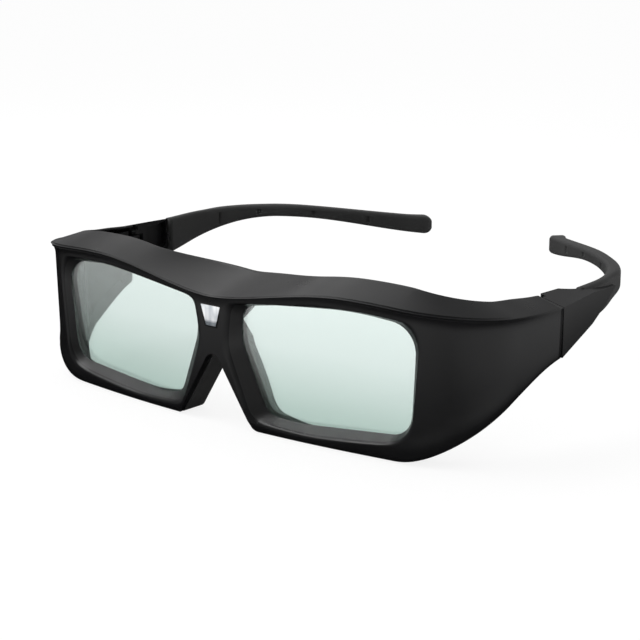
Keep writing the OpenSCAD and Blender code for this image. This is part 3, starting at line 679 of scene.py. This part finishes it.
# Painted light: the window is coloured white at the middle of its facets and grey at their edges, as if lit
# through the clear plastic, with a painted shade across its lower part where the receiver stands behind it.
window_clear, tree, shader, place = new_material("clear_window")
shader.inputs["Roughness"].default_value = 0.08
upright = add_node(tree, "ShaderNodeMapping", {"Scale": (1, 1, 0.3)})
facets = add_node(tree, "ShaderNodeTexVoronoi", {"Scale": 620})
glow = add_ramp(tree, (0, (1, 1, 1)), (1, (0.36, 0.4, 0.44)))
window_low, window_high = (WINDOW_Z - WINDOW_H / 2) / 1000, (WINDOW_Z + WINDOW_H / 2) / 1000
height = axis_share(tree, place, "Z", window_low, window_high)
receiver_shade = add_ramp(tree, (0.16, (0.28, 0.3, 0.32)), (0.3, (1, 1, 1)))
painted_window_light_and_shade = tree.nodes.new("ShaderNodeVectorMath")
painted_window_light_and_shade.operation = "MULTIPLY"
join(tree,
     (place, upright.inputs["Vector"]),
     (upright.outputs["Vector"], facets.inputs["Vector"]),
     (facets.outputs["Distance"], glow.inputs["Fac"]),
     (height, receiver_shade.inputs["Fac"]),
     (glow.outputs["Color"], painted_window_light_and_shade.inputs[0]),
     (receiver_shade.outputs["Color"], painted_window_light_and_shade.inputs[1]),
     (painted_window_light_and_shade.outputs["Vector"], shader.inputs["Base Color"]))
joint_black = moulded("window_joint", (0.003, 0.003, 0.003), 0.5)
joint_plate = window_plate(grow=0.25, front=-0.06, back=1.2, edge=0.00003)
piece("sensor_window_joint", joint_plate, "frame", joint_black)
clear_plate = window_plate(grow=-0.1, front=-0.2, back=1.4, edge=0.0002)
window = piece("sensor_window_clear", clear_plate, "frame", window_clear)
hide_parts("sensor_window")
epoxy = moulded("component_epoxy", (0.02, 0.02, 0.022), 0.45)
solder_mask = moulded("green_solder_mask", (0.02, 0.13, 0.05), 0.35, 0.0004, 0.3)
finish_solid("ir_receiver", epoxy)
finish_solid("sensor_board", solder_mask)

# Lenses: each is a liquid crystal cell between two polariser films, laid into the bezel on a foam
# gasket. The glass has a pale grey-green cast and a bright coated surface; its colour is lighter toward the
# top, a painted reflection, and darker toward its foot, a painted shade.
LENS_LOW, LENS_HIGH = 0.004, 0.038
glass, tree, shader, place = new_material("shutter_glass")
shader.inputs["Roughness"].default_value = 0.01
shader.inputs["Transmission Weight"].default_value = 1
shader.inputs["Coat Weight"].default_value = 1
shader.inputs["Coat IOR"].default_value = 2.6
shader.inputs["Coat Roughness"].default_value = 0.02
# Painted reflection and shade: the glass's colour is lighter toward the top and darker, greener toward its
# foot.
height = axis_share(tree, place, "Z", LENS_LOW, LENS_HIGH)
tint_and_painted_shade = add_ramp(tree, (0, (0.62, 0.8, 0.73)), (0.6, (0.85, 0.98, 0.94)))
join(tree, (height, tint_and_painted_shade.inputs["Fac"]), (tint_and_painted_shade.outputs["Color"], shader.inputs["Base Color"]))

film, tree, shader, place = new_material("polariser_film")
shader.inputs["Roughness"].default_value = 0.15
shader.inputs["Alpha"].default_value = 0.02
stretch = add_node(tree, "ShaderNodeTexNoise", {"Scale": 60})
tone = add_ramp(tree, (0, (0.5, 0.6, 0.55)), (1, (0.62, 0.7, 0.66)))
join(tree,
     (place, stretch.inputs["Vector"]),
     (stretch.outputs["Fac"], tone.inputs["Fac"]),
     (tone.outputs["Color"], shader.inputs["Base Color"]))
foam = moulded("gasket_foam", (0.02, 0.02, 0.02), 0.9, 0.0004, 0.5)
for side in ("left", "right"):
    finish_solid(f"shutter_cell_{side}", glass)
    finish_solid(f"front_polariser_{side}", film)
    finish_solid(f"rear_polariser_{side}", film)
    flared(f"lens_gasket_{side}", f"foam_gasket_{side}", foam)


# Electronics: a controller board on the right side, a coin cell between spring contacts behind a
# screwed door on the left, and an amber flexible cable along the brow that joins them.
def metal(name, colour, rough, brush):
    """Plated or brushed metal with fine drawn lines along z."""
    mat, tree, shader, place = new_material(name)
    shader.inputs["Metallic"].default_value = 1
    squeeze = add_node(tree, "ShaderNodeMapping", {"Scale": (brush, brush, brush / 12)})
    lines = add_node(tree, "ShaderNodeTexNoise", {"Scale": 1})
    tone = add_ramp(tree, (0, [c * 0.8 for c in colour]), (1, [min(1, c * 1.1) for c in colour]))
    gloss = add_node(tree, "ShaderNodeMapRange", {"To Min": rough - 0.08, "To Max": rough + 0.08})
    join(tree,
         (place, squeeze.inputs["Vector"]),
         (squeeze.outputs["Vector"], lines.inputs["Vector"]),
         (lines.outputs["Fac"], tone.inputs["Fac"]),
         (tone.outputs["Color"], shader.inputs["Base Color"]),
         (lines.outputs["Fac"], gloss.inputs["Value"]),
         (gloss.outputs["Result"], shader.inputs["Roughness"]))
    return mat


polyimide = moulded("amber_polyimide", (0.42, 0.17, 0.03), 0.25)
nickel = metal("nickel_plate", (0.68, 0.67, 0.65), 0.28, 4000)
brass = metal("spring_brass", (0.72, 0.55, 0.26), 0.3, 5000)
finish_solid("flex_cable", polyimide)
finish_solid("controller_board", solder_mask)
finish_solid("board_components", epoxy)
finish_solid("coin_cell", nickel)
finish_solid("contact_positive", brass)
finish_solid("contact_negative", brass)
finish_solid("battery_door", satin_black)

# Fasteners: small blackened steel screws, four through the rear shell into the front shell and one
# through the battery door.
black_steel = metal("blackened_steel", (0.09, 0.09, 0.095), 0.4, 6000)
finish_solid("case_screws", black_steel)
finish_solid("battery_door_screw", black_steel)

# Temples: a rigid black base turns on a drawn steel pin in the frame's hinge block, and a soft rubber
# arm over a steel core runs back from it, deep at the root, thin at the bend and rounded at the tip.
ARM_BEND = radians(47.6)
ARM_R = 32
ARM_STRAIGHT = 7
ARM_TIP_LEN = 58.2
ARM_T = 4
BASE_Y = 64
TIP_R = 3
ARM_SET_OUT = 0.8
ARM_START = -1
WAIST_AT = 1.25
arm_arc = ARM_R * ARM_BEND
arm_turned = ARM_STRAIGHT + arm_arc
ARM_LEN = arm_turned + ARM_TIP_LEN
arm_waist = ARM_STRAIGHT + arm_arc * WAIST_AT
bend_x, bend_y = HINGE_X - BAND_HINGE + ARM_SET_OUT + ARM_T / 2 - ARM_R, BASE_Y + ARM_STRAIGHT
AROUND, ALONG, TIP_N = 40, 40, 8
arm_rows = [mix(ARM_START, arm_turned, i / ALONG) for i in range(ALONG + 1)]
arm_rows += [mix(arm_turned, ARM_LEN - TIP_R, i / ALONG) for i in range(1, ALONG + 1)]
arm_rows += [ARM_LEN - TIP_R + TIP_R * sin(pi / 2 * i / TIP_N) for i in range(1, TIP_N + 1)]
ROOT_H, WAIST_H, TIP_H = 12.1, 3.9, 5.8
ROOT_Z, WAIST_Z, TIP_Z = 32.6, 37.7, 31.8
NARROW_SPAN, WIDEN_SPAN = (-6, arm_waist), (arm_waist + 10, ARM_LEN)
RISE_TO_WAIST, FALL_TO_TIP = (-4, arm_waist), (arm_waist - 2, ARM_LEN + 9)


def arm_height(s):
    """Height of the arm's section."""
    if s < arm_waist:
        return mix(ROOT_H, WAIST_H, quick(*NARROW_SPAN, s))
    return mix(WAIST_H, TIP_H, ease(*WIDEN_SPAN, s))


def arm_middle(s):
    """Height of the arm's middle line."""
    if s < arm_waist:
        return mix(ROOT_Z, WAIST_Z, quick(*RISE_TO_WAIST, s))
    return mix(WAIST_Z, TIP_Z, ease(*FALL_TO_TIP, s))


def arm_line(s):
    """Plan point and direction of the arm's middle line."""
    w = min(ARM_BEND, max(0, s - ARM_STRAIGHT) / ARM_R)
    past = max(0, s - arm_turned) + min(0, s - ARM_STRAIGHT)
    return bend_x + ARM_R * cos(w) - past * sin(w), bend_y + ARM_R * sin(w) + past * cos(w), w


TAIL_OUT = 1
TAIL_SPAN = (14.6, 22.6)
TIP_SWELL = 1.6
SWELL_SPAN = (ARM_LEN - 9, ARM_LEN - 1)
TIP_END_T, TIP_END_H = 0.02, 0.3
ARM_EDGE_R = 1.3
EDGE_SHARE_MAX = 0.9


def arm_point(column, row):
    """Point of the arm's skin, counted round its section and back from its root."""
    s = arm_rows[row]
    x, y, w = arm_line(s)
    inner = ARM_T / 2
    outer = mix(TAIL_OUT, inner, ease(*TAIL_SPAN, s))
    outer += TIP_SWELL * ease(*SWELL_SPAN, s)
    end = sqrt(max(TIP_END_T ** 2, 1 - (max(0, s - ARM_LEN + TIP_R) / TIP_R) ** 2))
    half_t, centre = (outer + inner) / 2 * end, (outer - inner) / 2
    half_h = arm_height(s) / 2 * mix(TIP_END_H, 1, end)
    r = min(ARM_EDGE_R, half_t * EDGE_SHARE_MAX)
    quarter, step = divmod(column % AROUND, AROUND // 4)
    a = pi / 2 * (quarter + step / (AROUND // 4 - 1))
    u = centre + (half_t - r) * (1 if quarter in (0, 3) else -1) + r * cos(a)
    v = arm_middle(s) + (half_h - r) * (1 if quarter < 2 else -1) + r * sin(a)
    return in_metres(x + u * cos(w), y + u * sin(w), v)


PIN_MARKS = (20, 34, 52, 70)
MARK_INSET, MARK_DEPTH = 0.0003, 0.0006
bright_steel = metal("drawn_steel", (0.6, 0.6, 0.62), 0.25, 6000)
for side, sign in (("left", 1), ("right", -1)):
    bm = bmesh.new()
    surface(bm, AROUND, len(arm_rows) - 1, arm_point)
    bmesh.ops.remove_doubles(bm, verts=bm.verts[:], dist=MERGE)
    bmesh.ops.holes_fill(bm, edges=[e for e in bm.edges if e.is_boundary])
    if sign < 0:
        bmesh.ops.scale(bm, verts=bm.verts[:], vec=(-1, 1, 1))
    bmesh.ops.recalc_face_normals(bm, faces=bm.faces[:])
    for s in PIN_MARKS:
        x, y, w = arm_line(s)
        mark = in_metres(sign * (x - ARM_T / 2 * cos(w)), y - ARM_T / 2 * sin(w), arm_middle(s))
        bm.faces.ensure_lookup_table()
        face = min(bm.faces, key=lambda f: (f.calc_center_median() - mark).length)
        bmesh.ops.inset_region(bm, faces=[face], thickness=MARK_INSET)
        bmesh.ops.translate(bm, verts=face.verts[:], vec=-face.normal * MARK_DEPTH)
    arm = piece(f"rubber_arm_{side}", bm, f"{side}_temple", soft_rubber)
    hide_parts(f"temple_arm_{side}")
    finish_solid(f"temple_base_{side}", satin_black, 0.00035)
    finish_solid(f"hinge_block_{side}", satin_black, 0.00015)
    finish_solid(f"hinge_pin_{side}", bright_steel)
    finish_solid(f"arm_core_{side}", bright_steel)


# Stage: white paper under a soft light above to the left and a weak one above and behind. The paper
# and the room are white to the camera and through the lenses, and the paper keeps a faint shadow. In
# a reflection the paper carries a painted shadow of the glasses: it is dark close to them and white
# farther ahead and off to their right. The room is dim in a reflection.
def calculate(tree, operation, *terms):
    """Adds a math node on outputs and numbers, its result held between 0 and 1."""
    node = tree.nodes.new("ShaderNodeMath")
    node.operation = operation
    node.use_clamp = True
    for socket, term in zip(node.inputs, terms):
        if isinstance(term, float):
            socket.default_value = term
        else:
            tree.links.new(term, socket)
    return node.outputs["Value"]


def choose(tree, share, first, second):
    """Mixes two shaders by a share."""
    node = tree.nodes.new("ShaderNodeMixShader")
    join(tree, (share, node.inputs["Fac"]), (first, node.inputs[1]), (second, node.inputs[2]))
    return node.outputs["Shader"]


def in_reflections(tree, rays):
    """1 in a reflection and 0 elsewhere, also for a ray that goes on through a lens."""
    return calculate(tree, "SUBTRACT", rays["Is Glossy Ray"], rays["Is Transmission Ray"])


WHITE = (1, 1, 1, 1)
PAPER_GLOW = 0.85
AHEAD_DARK, AHEAD_WHITE = 0.012, 0.115
BESIDE_DARK, BESIDE_WHITE = 0.11, 0.16
floor_mesh = bpy.data.meshes.new("floor")
bm = bmesh.new()
bmesh.ops.create_grid(bm, x_segments=2, y_segments=2, size=4)
bm.to_mesh(floor_mesh)
bm.free()
floor = bpy.data.objects.new("floor", floor_mesh)
scene.collection.objects.link(floor)
paper, tree, lit, place = new_material("white_paper")
lit.inputs["Base Color"].default_value = (0.9, 0.9, 0.9, 1)
lit.inputs["Roughness"].default_value = 0.9
rays = tree.nodes.new("ShaderNodeLightPath").outputs
white = add_node(tree, "ShaderNodeEmission", {"Color": WHITE, "Strength": 1})
seen = calculate(tree, "MAXIMUM", rays["Is Camera Ray"], rays["Is Transmission Ray"])
glow_share = calculate(tree, "MULTIPLY", seen, PAPER_GLOW)
front_y = -mid_y / 1000
# Painted shadow: in reflections the paper is dark close to the glasses and white farther ahead or off to
# their right.
ahead = axis_share(tree, place, "Y", front_y - AHEAD_DARK, front_y - AHEAD_WHITE)
beside = axis_share(tree, place, "X", BESIDE_DARK, BESIDE_WHITE)
reflected_paper_painted_shadow = add_node(tree, "ShaderNodeEmission", {"Color": WHITE})
plain = choose(tree, glow_share, lit.outputs["BSDF"], white.outputs["Emission"])
sheet = choose(tree, in_reflections(tree, rays), plain, reflected_paper_painted_shadow.outputs["Emission"])
join(tree,
     (calculate(tree, "MAXIMUM", ahead, beside), reflected_paper_painted_shadow.inputs["Strength"]),
     (sheet, tree.nodes["Material Output"].inputs["Surface"]))
floor_mesh.materials.append(paper)

world = bpy.data.worlds.new("studio")
scene.world = world
world.use_nodes = True
tree = world.node_tree
room = tree.nodes["Background"]
room.inputs["Color"].default_value = WHITE
toward_camera = tree.nodes.new("ShaderNodeVectorMath")
toward_camera.operation = "DOT_PRODUCT"
toward_camera.inputs[1].default_value = (0.6, -0.72, 0.3)
place = tree.nodes.new("ShaderNodeTexCoord")
level = add_node(tree, "ShaderNodeMapRange", {"From Min": -0.6, "From Max": 0.9,
                                              "To Min": 0.32, "To Max": 0.1})
backdrop = add_node(tree, "ShaderNodeBackground", {"Color": WHITE, "Strength": 1})
rays = tree.nodes.new("ShaderNodeLightPath").outputs
studio = choose(tree, in_reflections(tree, rays), backdrop.outputs["Background"], room.outputs["Background"])
join(tree,
     (place.outputs["Generated"], toward_camera.inputs[0]),
     (toward_camera.outputs["Value"], level.inputs["Value"]),
     (level.outputs["Result"], room.inputs["Strength"]),
     (studio, tree.nodes["World Output"].inputs["Surface"]))


def softbox(name, direction, distance, size, power):
    """Square area lamp that faces the glasses from that direction."""
    lamp = bpy.data.lights.new(name, "AREA")
    lamp.size = size
    lamp.energy = power
    obj = bpy.data.objects.new(name, lamp)
    obj.location = Vector(direction).normalized() * distance
    obj.rotation_euler = Vector(direction).to_track_quat("Z", "Y").to_euler()
    scene.collection.objects.link(obj)


softbox("back_softbox", (-0.56, 0.42, 0.68), distance=0.6, size=0.3, power=0.25)
softbox("front_softbox", (-0.5, -0.35, 0.8), distance=0.6, size=0.3, power=1.6)
scene.view_settings.view_transform = "Standard"

bpy.context.view_layer.update()
